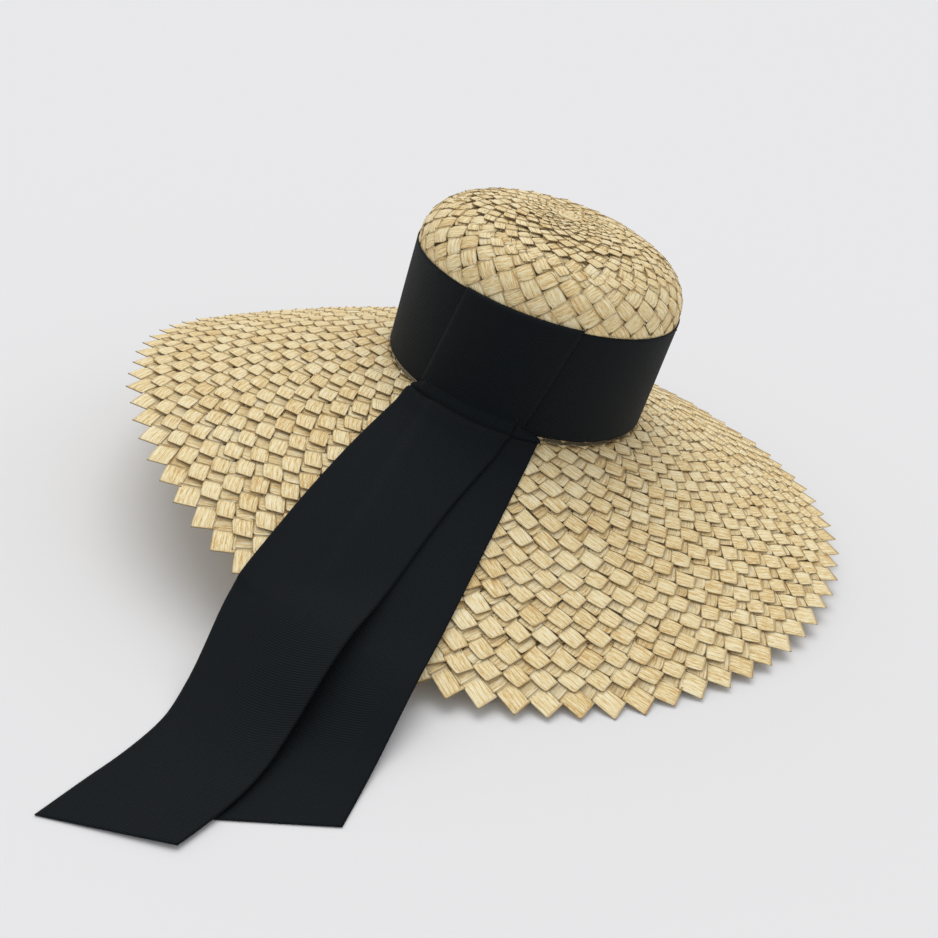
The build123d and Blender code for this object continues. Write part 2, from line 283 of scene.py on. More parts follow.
@dataclass(frozen=True)
class RaffiaStraw:
    """Raffia palm straw, dried, split and plaited: matt and papery with a faint natural wax, pale strands
    beside ochre ones, fine fibres along each strand, and brown painted shade in the gaps of the weave."""

    name: str = "raffia_straw"
    pale: str = "#FBF0CC"
    middle: str = "#F1DBA4"
    ochre: str = "#D2AA68"
    # painted shade: the brown that the weave's gaps and laps are darkened to
    gap_shade: str = "#7D5A30"
    fibre_mm: float = 0.9
    fibre_length_mm: float = 7.0
    split_mm: float = 3.0           # between the splits of one strand
    roughness: float = 0.62
    ior: float = 1.47

    def make(self) -> bpy.types.Material:
        """Builds the material; it reads the strand's own coordinates, tone and painted shade from the mesh.
        """
        material, tree = new_material(self.name)
        cloth = add_node(tree, "ShaderNodeUVMap", uv_map="cloth")
        tone = add_node(tree, "ShaderNodeAttribute", attribute_name="tone")
        shade = add_node(tree, "ShaderNodeAttribute", attribute_name="shade")
        scale = (1 / self.fibre_length_mm, 1 / self.fibre_mm, 1.0)
        fibres_at = add_node(tree, "ShaderNodeMapping", {"Vector": cloth.outputs[0], "Scale": scale})
        fibres = add_node(tree, "ShaderNodeTexNoise",
                          {"Vector": fibres_at.outputs[0], "Scale": 1.0, "Detail": 4.0, "Roughness": 0.72})
        split_scale = (1 / (5 * self.fibre_length_mm), 1 / (3.5 * self.fibre_mm), 1.0)
        splits_at = add_node(tree, "ShaderNodeMapping", {"Vector": cloth.outputs[0], "Scale": split_scale})
        splits = add_node(tree, "ShaderNodeTexNoise",
                          {"Vector": splits_at.outputs[0], "Scale": 1.0, "Detail": 1.0})
        line_scale = (0.25 / self.split_mm, 1 / self.split_mm, 1.0)
        lines_at = add_node(tree, "ShaderNodeMapping", {"Vector": cloth.outputs[0], "Scale": line_scale})
        lines = add_node(tree, "ShaderNodeTexWave",
                         {"Vector": lines_at.outputs[0], "Scale": 0.31, "Distortion": 4.5, "Detail": 2.0,
                          "Detail Scale": 0.8}, bands_direction="Y")
        crease = add_node(tree, "ShaderNodeMapRange",
                          {0: lines.outputs["Fac"], 1: 0.0, 2: 0.16, 3: 0.30, 4: 0.0})
        mixed = add_node(tree, "ShaderNodeMath", {0: fibres.outputs[0], 1: 3.4, 2: -1.7},
                         operation="MULTIPLY_ADD")
        strand = add_node(tree, "ShaderNodeMath", {0: splits.outputs[0], 1: 0.9, 2: -0.45},
                          operation="MULTIPLY_ADD")
        strand = add_node(tree, "ShaderNodeMath", {0: strand.outputs[0], 1: crease.outputs[0]})
        total = add_node(tree, "ShaderNodeMath", {0: tone.outputs["Fac"], 1: mixed.outputs[0]})
        total = add_node(tree, "ShaderNodeMath", {0: total.outputs[0], 1: strand.outputs[0]})
        straw = colour_ramp(tree, total.outputs[0],
                            [(0.05, self.pale), (0.95, self.ochre), (0.45, self.middle)])
        # painted shade: the straw is mixed towards the brown shade colour where the mesh's shade share is low
        body = add_node(tree, "ShaderNodeMix",
                        {"Factor": shade.outputs["Fac"], 6: linear(self.gap_shade), 7: straw}, data_type="RGBA")
        bump = add_node(tree, "ShaderNodeBump",
                        {"Height": fibres.outputs[0], "Strength": 0.8, "Distance": 0.5 * MM})
        bump = add_node(tree, "ShaderNodeBump", {"Height": crease.outputs[0], "Strength": 0.7,
                                                 "Distance": 0.6 * MM, "Normal": bump.outputs[0]},
                        invert=True)
        bump = add_node(tree, "ShaderNodeBump", {"Height": splits.outputs[0], "Strength": 0.8,
                                                 "Distance": 0.6 * MM, "Normal": bump.outputs[0]})
        shader = add_node(tree, "ShaderNodeBsdfPrincipled",
                          {"Base Color": body.outputs[2], "Roughness": self.roughness, "IOR": self.ior,
                           "Normal": bump.outputs[0]})
        add_node(tree, "ShaderNodeOutputMaterial", {"Surface": shader.outputs[0]})
        return material


@dataclass(frozen=True)
class Grosgrain:
    """Grosgrain ribbon, a plain weave with thick weft cords: matt, with close ribs straight across it, a
    soft sheen at a glancing angle and a slightly darker woven selvedge."""

    name: str
    base: str
    light: str
    rib_mm: float = 1.5             # real ribs are about 1 mm apart; drawn a little coarser so that they show
    rib_height_mm: float = 0.22
    selvedge_mm: float = 1.4
    roughness: float = 0.72
    sheen: float = 0.03
    gloss: float = 0.12             # share of a smooth plastic's reflection that the rough yarn keeps

    def make(self) -> bpy.types.Material:
        """Builds the material; its ribs follow the millimetres along the ribbon."""
        material, tree = new_material(self.name)
        cloth = add_node(tree, "ShaderNodeUVMap", uv_map="cloth")
        selvedge = add_node(tree, "ShaderNodeAttribute", attribute_name="selvedge")
        ribs_at = add_node(tree, "ShaderNodeMapping",
                           {"Vector": cloth.outputs[0], "Scale": (1 / self.rib_mm, 0.0, 1.0)})
        axis = add_node(tree, "ShaderNodeSeparateXYZ", {0: ribs_at.outputs[0]})
        turn = add_node(tree, "ShaderNodeMath", {0: axis.outputs[0], 1: 2 * pi}, operation="MULTIPLY")
        ribs = add_node(tree, "ShaderNodeMath", {0: turn.outputs[0]}, operation="SINE")
        threads_at = add_node(tree, "ShaderNodeMapping",
                              {"Vector": cloth.outputs[0], "Scale": (1 / self.rib_mm, 2.2, 1.0)})
        threads = add_node(tree, "ShaderNodeTexNoise",
                           {"Vector": threads_at.outputs[0], "Scale": 1.0, "Detail": 2.0})
        edge = add_node(tree, "ShaderNodeMapRange", {0: selvedge.outputs["Fac"], 1: 0.0, 2: self.selvedge_mm,
                                                     3: 0.0, 4: 1.0})
        rib_share = add_node(tree, "ShaderNodeMath", {0: ribs.outputs[0], 1: 0.22, 2: 0.3},
                             operation="MULTIPLY_ADD")
        weave = add_node(tree, "ShaderNodeMath", {0: threads.outputs[0], 1: 0.5, 2: rib_share.outputs[0]},
                         operation="MULTIPLY_ADD")
        weave = add_node(tree, "ShaderNodeMath", {0: weave.outputs[0], 1: edge.outputs[0]},
                         operation="MULTIPLY")
        colour = colour_ramp(tree, weave.outputs[0], [(0.0, self.base), (0.9, self.light)])
        height = add_node(tree, "ShaderNodeMath", {0: ribs.outputs[0], 1: threads.outputs[0]})
        bump = add_node(tree, "ShaderNodeBump", {"Height": height.outputs[0], "Strength": 0.6,
                                                 "Distance": self.rib_height_mm * MM})
        shader = add_node(tree, "ShaderNodeBsdfPrincipled",
                          {"Base Color": colour, "Roughness": self.roughness, "Sheen Weight": self.sheen,
                           "Sheen Roughness": 0.5, "Specular IOR Level": self.gloss,
                           "Normal": bump.outputs[0]})
        add_node(tree, "ShaderNodeOutputMaterial", {"Surface": shader.outputs[0]})
        return material


@dataclass(frozen=True)
class SpunThread:
    """Spun polyester sewing thread: two plies twisted together, with a faint gloss."""

    name: str
    colour: str
    shadow: str
    twist_mm: float = 1.2
    roughness: float = 0.5

    def make(self) -> bpy.types.Material:
        """Builds the material; the twist follows the stitch's own length."""
        material, tree = new_material(self.name)
        cloth = add_node(tree, "ShaderNodeUVMap", uv_map="cloth")
        twist_at = add_node(tree, "ShaderNodeMapping",
                            {"Vector": cloth.outputs[0], "Scale": (1 / self.twist_mm, 2.0, 1.0),
                             "Rotation": (0.0, 0.0, radians(30))})
        twist = add_node(tree, "ShaderNodeTexWave", {"Vector": twist_at.outputs[0], "Scale": 0.5})
        colour = colour_ramp(tree, twist.outputs["Fac"], [(0.1, self.shadow), (0.8, self.colour)])
        bump = add_node(tree, "ShaderNodeBump", {"Height": twist.outputs["Fac"], "Strength": 0.5,
                                                 "Distance": 0.1 * MM})
        shader = add_node(tree, "ShaderNodeBsdfPrincipled",
                          {"Base Color": colour, "Roughness": self.roughness, "Normal": bump.outputs[0]})
        add_node(tree, "ShaderNodeOutputMaterial", {"Surface": shader.outputs[0]})
        return material


@dataclass(frozen=True)
class StudioPaper:
    """Seamless paper roll: pale and quite matt, and not there when it is seen from beneath."""

    name: str = "studio_paper"
    colour: str = "#E4E4E6"

    def make(self) -> bpy.types.Material:
        """Builds the material, clear on back faces."""
        material, tree = new_material(self.name)
        geometry = add_node(tree, "ShaderNodeNewGeometry")
        grain = add_node(tree, "ShaderNodeTexNoise", {"Scale": 40.0, "Detail": 2.0})
        bump = add_node(tree, "ShaderNodeBump", {"Height": grain.outputs[0], "Strength": 0.03,
                                                 "Distance": 0.2 * MM})
        paper = add_node(tree, "ShaderNodeBsdfPrincipled", {"Base Color": linear(self.colour),
                                                            "Roughness": 0.95, "Normal": bump.outputs[0]})
        clear = add_node(tree, "ShaderNodeBsdfTransparent")
        both = add_node(tree, "ShaderNodeMixShader",
                        {0: geometry.outputs["Backfacing"], 1: paper.outputs[0], 2: clear.outputs[0]})
        add_node(tree, "ShaderNodeOutputMaterial", {"Surface": both.outputs[0]})
        return material


# ---- the hat's shape ------------------------------------------------------------------------------------


@dataclass(frozen=True)
class HatShape:
    """The hat's surfaces, from the frame's sizes and the drop of the brim."""

    half_length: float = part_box("crown_wall")[1].x
    half_width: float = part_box("crown_wall")[1].y
    side_height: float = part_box("crown_wall")[1].z
    top_height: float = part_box("crown_tip")[1].z
    squareness: float = 2.5
    seam_radius: float = 0.261
    edge_reach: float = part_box("edge_points")[1].x
    drop_mean: float = 61.7 * MM
    drop_lean: Tuple[float, float] = (9.1 * MM, 148.7)
    drop_saddle: Tuple[float, float] = (15.6 * MM, 121.3)
    drop_wave: Tuple[float, float] = (6.6 * MM, 46.8)
    curl: float = -0.10
    curl_swing: Tuple[float, float] = (0.19, -14.2)

    @property
    def mean_radius(self) -> float:
        """Mean radius of the crown's oval."""
        return (self.half_length + self.half_width) / 2

    def oval(self, angle: Array, inset: float = 0.0) -> Array:
        """Radius of the crown's oval at an angle: ab / root of (b cos)^2 + (a sin)^2, each less inset."""
        a, b = self.half_length - inset, self.half_width - inset
        return a * b / np.hypot(b * np.cos(angle), a * np.sin(angle))

    def brim_height(self, angle: Array, radius: Array) -> Array:
        """Height of the brim: minus the drop, times a gentle parabola of the share of the way out."""
        drop = (self.drop_mean + self.drop_lean[0] * np.cos(angle - radians(self.drop_lean[1]))
                + self.drop_saddle[0] * np.cos(2 * (angle - radians(self.drop_saddle[1])))
                + self.drop_wave[0] * np.cos(3 * (angle - radians(self.drop_wave[1]))))
        curl = self.curl + self.curl_swing[0] * np.cos(angle - radians(self.curl_swing[1]))
        share = np.maximum(0.0, (radius - self.oval(angle)) / (self.seam_radius - self.oval(angle)))
        return -drop * ((1 + curl) * share - curl * share * share)

    def over_brim(self, x: Array, y: Array) -> Array:
        """Height of the brim under a point; past the edge it falls away steeply."""
        radius = np.hypot(x, y)
        on_brim = np.minimum(radius, self.edge_reach)
        return self.brim_height(np.arctan2(y, x), on_brim) - 1.4 * (radius - on_brim)


SHAPE = HatShape()


class StrawSurface:
    """A skin that rounds of plait are laid on. angle goes round the hat, and run goes outwards along the
    straw, from the middle of the tip to the edge of the brim."""

    step = 0.5 * MM

    def skin(self, angle: Array, run: Array) -> Array:
        """Points of the skin."""
        raise NotImplementedError

    def place(self, angle: Array, run: Array, lift: Array) -> Array:
        """Points at a lift off the skin, along the cross product of its two tangents."""
        here = self.skin(angle, run)
        around = self.skin(angle + 0.01, run) - here
        outward = self.skin(angle, run + self.step) - here
        return here + unit(np.cross(outward, around)) * lift[..., None]


@dataclass(frozen=True)
class BrimSurface(StrawSurface):
    """The brim. run is the distance out from the crown on its mean oval; rings change from the crown's
    oval to the round edge by the same share of the way at every angle."""

    shape: HatShape = SHAPE

    @property
    def length(self) -> float:
        """Run of the edge points' tips."""
        return self.shape.edge_reach - self.shape.mean_radius

    def skin(self, angle: Array, run: Array) -> Array:
        """radius = oval + (edge - oval) * run / length."""
        oval = self.shape.oval(angle)
        radius = oval + (self.shape.edge_reach - oval) * run / self.length
        height = self.shape.brim_height(angle, radius)
        return polar(angle, radius, height)


@dataclass(frozen=True)
class WallSurface(StrawSurface):
    """The crown's straight wall, inset by half the straw; run goes down from the shoulder."""

    shape: HatShape = SHAPE
    inset: float = 1.5 * MM

    def skin(self, angle: Array, run: Array) -> Array:
        """The oval, at the shoulder's height less the run."""
        radius = self.shape.oval(angle, self.inset)
        height = self.shape.side_height - run + 0.0 * radius
        return polar(angle, radius, height)


@dataclass(frozen=True)
class TipSurface(StrawSurface):
    """Tip and shoulder: a squared quarter ellipse turned into an oval dome; run is its arc length from
    the middle of the tip, read from a table of the mean section."""

    shape: HatShape = SHAPE
    inset: float = 1.2 * MM
    turns: Array = field(default_factory=lambda: np.linspace(pi / 2, 0.0, 400))

    def section(self) -> Tuple[Array, Array, Array]:
        """Spread (share of the oval), height and arc length at each turn: cos and sin to the power 2/n."""
        power = 2 / self.shape.squareness
        spread = np.cos(self.turns) ** power
        rise = self.shape.top_height - self.shape.side_height - self.inset
        height = self.shape.side_height + rise * np.sin(self.turns) ** power
        arc = np.hypot(np.diff(spread * self.shape.mean_radius), np.diff(height))
        return spread, height, np.concatenate([[0.0], np.cumsum(arc)])

    @property
    def length(self) -> float:
        """Arc length from the middle of the tip to the wall."""
        return float(self.section()[2][-1])

    def skin(self, angle: Array, run: Array) -> Array:
        """Spread and height at the run; past the wall's top the skin goes straight down."""
        spreads, heights, arcs = self.section()
        spread = np.interp(run, arcs, spreads)
        height = np.interp(run, arcs, heights) - np.maximum(0.0, run - arcs[-1])
        radius = self.shape.oval(angle, self.inset) * spread
        return polar(angle, radius, height)


# ---- straw plait ----------------------------------------------------------------------------------------


@dataclass(frozen=True)
class Plait:
    """A flat plait of split straw: strands at 45 degrees, which cross over and under and fold at the
    plait's saw-toothed edge. Each round of it laps over the next one out."""

    strand: float = 12.2 * MM       # across one strand
    bulge: float = 0.68 * MM        # half a strand's height at the middle of a crossing
    rows: int = 3                   # rows of crossings across the plait
    lap_top: float = 0.35 * MM      # lift of the plait's middle at its toothed edge
    lap_slope: float = 0.125        # how much it sinks inwards, under the next round in
    shows: float = 12.4 * MM        # what shows of a round
    reach: float = 1.18             # how far a strand goes on under its neighbours
    slack: float = 0.995            # a strand's width as a share of its room
    lines_along: Tuple[float, ...] = (0.5, 0.95)    # grid lines each side of a crossing's middle
    line_across: float = 0.84
    pressed: float = 0.45           # how far a strand's two edges are pressed down
    dip: float = 0.85               # how far it dips where it goes under
    wobble: float = 0.065           # hand-plaited unevenness, as a share of a crossing
    blunt: float = 0.5              # how much the fold at a strand's outer corner is pressed flat
    blunt_from: float = 0.5
    tuck: float = -1.5 * MM         # how far it goes on past the line where wall and brim meet

    @property
    def half_diagonal(self) -> float:
        """From the middle of a crossing to its corner."""
        return self.strand / 2**0.5

    def crossing(self) -> Tuple[Array, Array, Array, Array, Array]:
        """Shares along and across one crossing, its height on top and beneath, and its painted shade.

        The height is 1 less a steep power of the place across, and less a smooth dip at both ends.
        """
        inner, outer = self.lines_along
        lines = np.array([-self.reach, -outer, -inner, inner, outer, self.reach])
        across = np.array([-1.0, -self.line_across, self.line_across, 1.0]) * self.slack
        u, v = np.meshgrid(lines, across, indexing="ij")

        def profile(p: Array, q: Array) -> Array:
            """Height of a strand that runs along p."""
            return 1 - self.pressed * np.abs(q) ** 8 - self.dip * smooth_step((np.abs(p) - 0.4) / 0.75)

        # painted shade: darker along a strand's two edges and towards its ends, where it dips under its
        # neighbours
        shade = (1 - 0.35 * np.abs(v) ** 14) * (1 - 0.6 * smooth_step((np.abs(u) - 0.92) / 0.22))
        return u, v, profile(u, v), profile(v, u), shade

    def round_of(self, surface: StrawSurface, edge: float, rng: np.random.Generator,
                 rows: Optional[int] = None, lowest: float = -1.0, covered: bool = True) -> MeshData:
        """One round of plait on a surface, every crossing a closed pillow woven into its neighbours.

        Args:
            surface: the skin it is sewn to.
            edge: run of its toothed edge.
            rng: the source of its unevenness.
            rows: rows of crossings, where that isn't the plait's own number.
            lowest: crossings with their middles at a smaller run are left out.
            covered: whether the next round in laps over this one.

        Returns:
            The round's mesh, with tone and painted-shade shares.
        """
        middle = surface.skin(np.linspace(0, 2 * pi, 73), np.full(73, max(edge - self.half_diagonal, MM)))
        girth = float(np.linalg.norm(np.diff(middle, axis=0), axis=1).sum())
        count = max(6, round(girth / (2 * self.half_diagonal)))
        u, v, top, under, shade = self.crossing()
        row = np.arange(rows or self.rows)
        row = row[edge - self.half_diagonal * (1 + row) >= lowest][:, None, None, None]
        place = np.arange(count)[None, :, None, None]
        side = np.where(row % 2 == 0, 1.0, -1.0)
        size = (row.shape[0], count, 1, 1)
        turn = rng.normal(0, self.wobble, size)
        slant = rng.normal(0, self.wobble, size)
        p = side * u / 2 + v / 2 + rng.normal(0, self.wobble * 0.6, size) + turn * v * 0.5
        q = u / 2 - side * v / 2 + rng.normal(0, self.wobble * 0.6, size) + slant * u * 0.5
        q = np.where(q > self.blunt_from, self.blunt_from + (q - self.blunt_from) * self.blunt, q)
        pitch = 2 * pi / count
        angle = rng.uniform(0, pitch) + pitch * (place + 0.5 * (row % 2) + 0.5 * p)
        sway = 0.05 * self.shows * np.sin(rng.integers(3, 6) * angle + rng.uniform(0, 2 * pi))
        run = edge - self.half_diagonal * (1 + row) + self.half_diagonal * q
        depth = edge - run
        lift = self.lap_top - self.lap_slope * depth + rng.normal(0, 0.18 * MM, size)
        plump = self.bulge * (1 + rng.normal(0, 0.08, size))
        run = np.maximum(run, self.tuck) if lowest > -1 else run
        upper = surface.place(angle, run + sway, lift + plump * top)
        lower = surface.place(angle, run + sway, lift - plump * under)
        # painted shade on the part of a round that the next round in laps over
        lap_shade = smooth_step((depth - self.shows - 4 * MM) / (5 * MM)) if covered else 0.0 * depth
        base_tone = np.clip(rng.normal(0.40, 0.08, size), 0.0, 1.0)
        start_u, start_v = rng.uniform(0, 400, size), rng.uniform(0, 400, size)
        half = self.strand / 2 / MM
        cells = row.shape[0] * count
        corners = u.size

        def flat(values: Array) -> Array:
            """One number for each point of every crossing."""
            return np.broadcast_to(values, angle.shape).reshape(cells, corners)

        top_uv = np.stack([flat(start_u + u * half), flat(start_v + v * half)], -1)
        under_uv = np.stack([flat(start_v + v * half), flat(start_u + u * half)], -1)
        grid = np.arange(corners).reshape(u.shape)
        quads = grid_faces(*u.shape)
        rim = np.concatenate([grid[:-1, 0], grid[-1, :-1], grid[:0:-1, -1], grid[0, :0:-1]])
        after = np.roll(rim, -1)
        walls = np.stack([rim, after, after + corners, rim + corners], -1)
        cell_faces = np.concatenate([quads, quads[:, ::-1] + corners, walls[:, ::-1]])
        faces = (cell_faces[None] + (np.arange(cells) * 2 * corners)[:, None, None]).reshape(-1, 4)
        points = np.concatenate([upper.reshape(cells, corners, 3), lower.reshape(cells, corners, 3)], 1)
        uv = np.concatenate([top_uv, under_uv], 1)
        shades = flat(shade * (1 - 0.8 * lap_shade))
        beneath = flat(shade + 0.0 * depth)
        return MeshData(points.reshape(-1, 3), faces, uv.reshape(-1, 2), {
            "tone": np.concatenate([flat(base_tone), flat(base_tone)], 1).reshape(-1),
            "shade": np.concatenate([shades, beneath], 1).reshape(-1),
        })


def stitches(start: Array, end: Array, lift: Array, thickness: float) -> MeshData:
    """Stitches as small arched threads: six-sided tubes whose middles rise along lift.

    Args:
        start: where each stitch comes out, (count, 3).
        end: where it goes in.
        lift: the way it stands off, at length one.
        thickness: the thread's diameter.

    Returns:
        All the stitches as one mesh of closed tubes.
    """
    sides, rings = 6, 5
    share = np.linspace(0, 1, rings)[None, :, None]
    arch = np.sin(share * pi)
    middle = start[:, None] * (1 - share) + end[:, None] * share
    middle = middle + lift[:, None] * (arch - 0.5) * thickness * 0.9
    along = unit(end - start)
    across = unit(np.cross(along, lift))
    turn = np.linspace(0, 2 * pi, sides, endpoint=False)[None, None, :, None]
    size = (0.35 + 0.65 * np.sin(share * pi) ** 0.5)[..., None] * thickness / 2
    ring = across[:, None, None] * np.cos(turn) + lift[:, None, None] * np.sin(turn)
    tube = middle[:, :, None] + ring * size
    count, corners = len(start), rings * sides
    index = np.arange(corners).reshape(rings, sides)
    nxt = np.roll(index, -1, 1)
    sleeve = np.stack([index[:-1], nxt[:-1], nxt[1:], index[1:]], -1).reshape(-1, 4)
    caps = []
    for ring_index, flip in ((index[0], True), (index[-1], False)):
        halves = np.array([[ring_index[0], ring_index[1], ring_index[2], ring_index[3]],
                           [ring_index[0], ring_index[3], ring_index[4], ring_index[5]]])
        caps.append(halves[:, ::-1] if flip else halves)
    face = np.concatenate([sleeve] + caps)
    faces = (face[None] + (np.arange(count) * corners)[:, None, None]).reshape(-1, 4)
    length = np.linalg.norm(end - start, axis=1)[:, None, None] / MM
    uv = np.stack([np.broadcast_to(share[..., 0][:, :, None] * length, (count, rings, sides)),
                   np.broadcast_to(turn[..., 0], (count, rings, sides))], -1)
    return MeshData(tube.reshape(-1, 3), faces, uv.reshape(-1, 2),
                    {"selvedge": np.full(count * corners, 5.0)})


# ---- sub-assemblies -------------------------------------------------------------------------------------


@dataclass
class Finishes:
    """Every material of the hat."""

    straw: bpy.types.Material
    ribbon: bpy.types.Material
    sweatband: bpy.types.Material
    straw_thread: bpy.types.Material
    dark_thread: bpy.types.Material


def dress(piece: bpy.types.Object, slot: Slot, *nodes: str, body: Body = Body.HAT) -> bpy.types.Object:
    """Rides the piece on its body and hides the nodes that it stands for."""
    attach(piece, body.value)
    if nodes:
        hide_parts(*nodes)
    log.info("%s: %d faces", piece.name, len(piece.data.polygons))
    return piece


@dataclass
class StrawBrim:
    """The brim's rounds, from the toothed edge in to the crown."""

    plait: Plait = Plait()
    edge_plait: Plait = Plait(strand=14.0 * MM, blunt=0.9)
    edge_depth: float = 13.5 * MM   # from the points' tips to the next round in
    lowest: float = -12.0 * MM       # the innermost crossings' middles, where the brim turns up into the wall
    groups: Tuple[Tuple[str, int, int, Tuple[str, ...]], ...] = (
        ("brim_edge_round", 0, 1, ("edge_points",)),
        ("brim_outer_rounds", 1, 6, ("brim",)),
        ("brim_inner_rounds", 6, 17, ("brim",)),
    )
    seed: int = 11

    def build(self, finishes: Finishes) -> None:
        """Each group of rounds is one piece."""
        surface = BrimSurface()
        rng = np.random.default_rng(self.seed)
        for name, first, last, nodes in self.groups:
            plait = self.edge_plait if first == 0 else self.plait
            edges = [surface.length - (self.edge_depth + (k - 1) * plait.shows if k else 0.0)
                     for k in range(first, last)]
            rounds = [plait.round_of(surface, edge, rng, lowest=self.lowest)
                      for edge in edges if edge > 2 * MM]
            dress(make_object(name, MeshData.joined(rounds), finishes.straw), Slot.STRAW, *nodes)


@dataclass
class StrawCrown:
    """Wall, shoulder, tip and the coil that starts the plait."""

    wall_plait: Plait = Plait(bulge=0.6 * MM, lap_top=0.35 * MM, lap_slope=0.025)
    shoulder_plait: Plait = Plait(bulge=0.75 * MM, lap_top=0.1 * MM, lap_slope=0.0)
    tip_plait: Plait = Plait(strand=8.5 * MM, bulge=0.75 * MM, lap_top=1.0 * MM, lap_slope=0.11, rows=4,
                             shows=13.5 * MM)
    middle_plait: Plait = Plait(strand=5.0 * MM, bulge=0.6 * MM, lap_top=0.5 * MM, lap_slope=0.06, rows=3,
                                shows=8 * MM)
    shoulder_edge: float = -9.0 * MM
    tip_edges: Tuple[float, ...] = (86.0 * MM, 71.0 * MM, 57.0 * MM, 44.0 * MM)
    middle_edges: Tuple[float, ...] = (32.0 * MM, 23.0 * MM, 15.0 * MM)
    button_radius: float = 10.0 * MM
    coil_pitch: float = 3.4 * MM
    seed: int = 23

    def build(self, finishes: Finishes) -> None:
        """Wall, shoulder, tip rounds and coil, each its own piece."""
        rng = np.random.default_rng(self.seed)
        wall, tip = WallSurface(), TipSurface()
        wall_edges = [SHAPE.side_height - k * self.wall_plait.shows for k in range(7)]
        rounds = [self.wall_plait.round_of(wall, edge, rng, lowest=-10 * MM) for edge in wall_edges]
        dress(make_object("crown_wall_rounds", MeshData.joined(rounds), finishes.straw),
              Slot.STRAW, "crown_wall")
        shoulder = self.shoulder_plait.round_of(tip, tip.length - self.shoulder_edge, rng, rows=6,
                                                covered=False)
        dress(make_object("crown_shoulder_weave", shoulder, finishes.straw), Slot.STRAW, "crown_tip")
        rounds = [self.tip_plait.round_of(tip, edge, rng) for edge in self.tip_edges]
        rounds += [self.middle_plait.round_of(tip, edge, rng, lowest=2 * MM) for edge in self.middle_edges]
        dress(make_object("crown_tip_rounds", MeshData.joined(rounds), finishes.straw),
              Slot.STRAW, "crown_tip")
        dress(make_object("tip_coil", self.coil(tip), finishes.straw), Slot.STRAW, "tip_button")

    def coil(self, tip: TipSurface) -> MeshData:
        """The coil: a lens on the tip with a spiral ridge, the sine of radius over pitch less the turn;
        painted shade in the grooves.
        """
        around, rings = 72, 15
        angle = np.linspace(0, 2 * pi, around, endpoint=False)[:, None] + np.zeros((1, rings))
        radius = np.linspace(0.4 * MM, self.button_radius, rings)[None] + np.zeros((around, 1))
        ridge = np.abs(np.sin(pi * (radius / self.coil_pitch - angle / (2 * pi))))
        rim = 1 - smooth_step((radius / self.button_radius - 0.75) / 0.25)
        lift = (0.5 + 1.1 * ridge * (0.3 + 0.7 * rim) + 0.6 * rim) * MM
        top = tip.place(angle, radius, lift)
        under = tip.place(angle, radius, -1.0 * MM + 0.0 * lift)
        count = around * rings
        face = grid_faces(around, rings, loop=True)
        index = np.arange(count).reshape(around, rings)
        after = np.roll(index, -1, 0)
        outer = np.stack([index[:, -1], after[:, -1], after[:, -1] + count, index[:, -1] + count], -1)
        inner = np.stack([after[:, 0], index[:, 0], index[:, 0] + count, after[:, 0] + count], -1)
        faces = np.concatenate([face, face[:, ::-1] + count, outer[:, ::-1], inner[:, ::-1]])
        uv = np.stack([angle * 6.0, radius / MM], -1).reshape(-1, 2)
        # painted shade: the shade share is low in the spiral's grooves and high on its ridge
        shade = np.clip(0.15 + 1.1 * ridge, 0, 1).reshape(-1)
        return MeshData(np.concatenate([top.reshape(-1, 3), under.reshape(-1, 3)]), faces,
                        np.concatenate([uv, uv]),
                        {"tone": np.full(2 * count, 0.4), "shade": np.concatenate([shade, shade])})


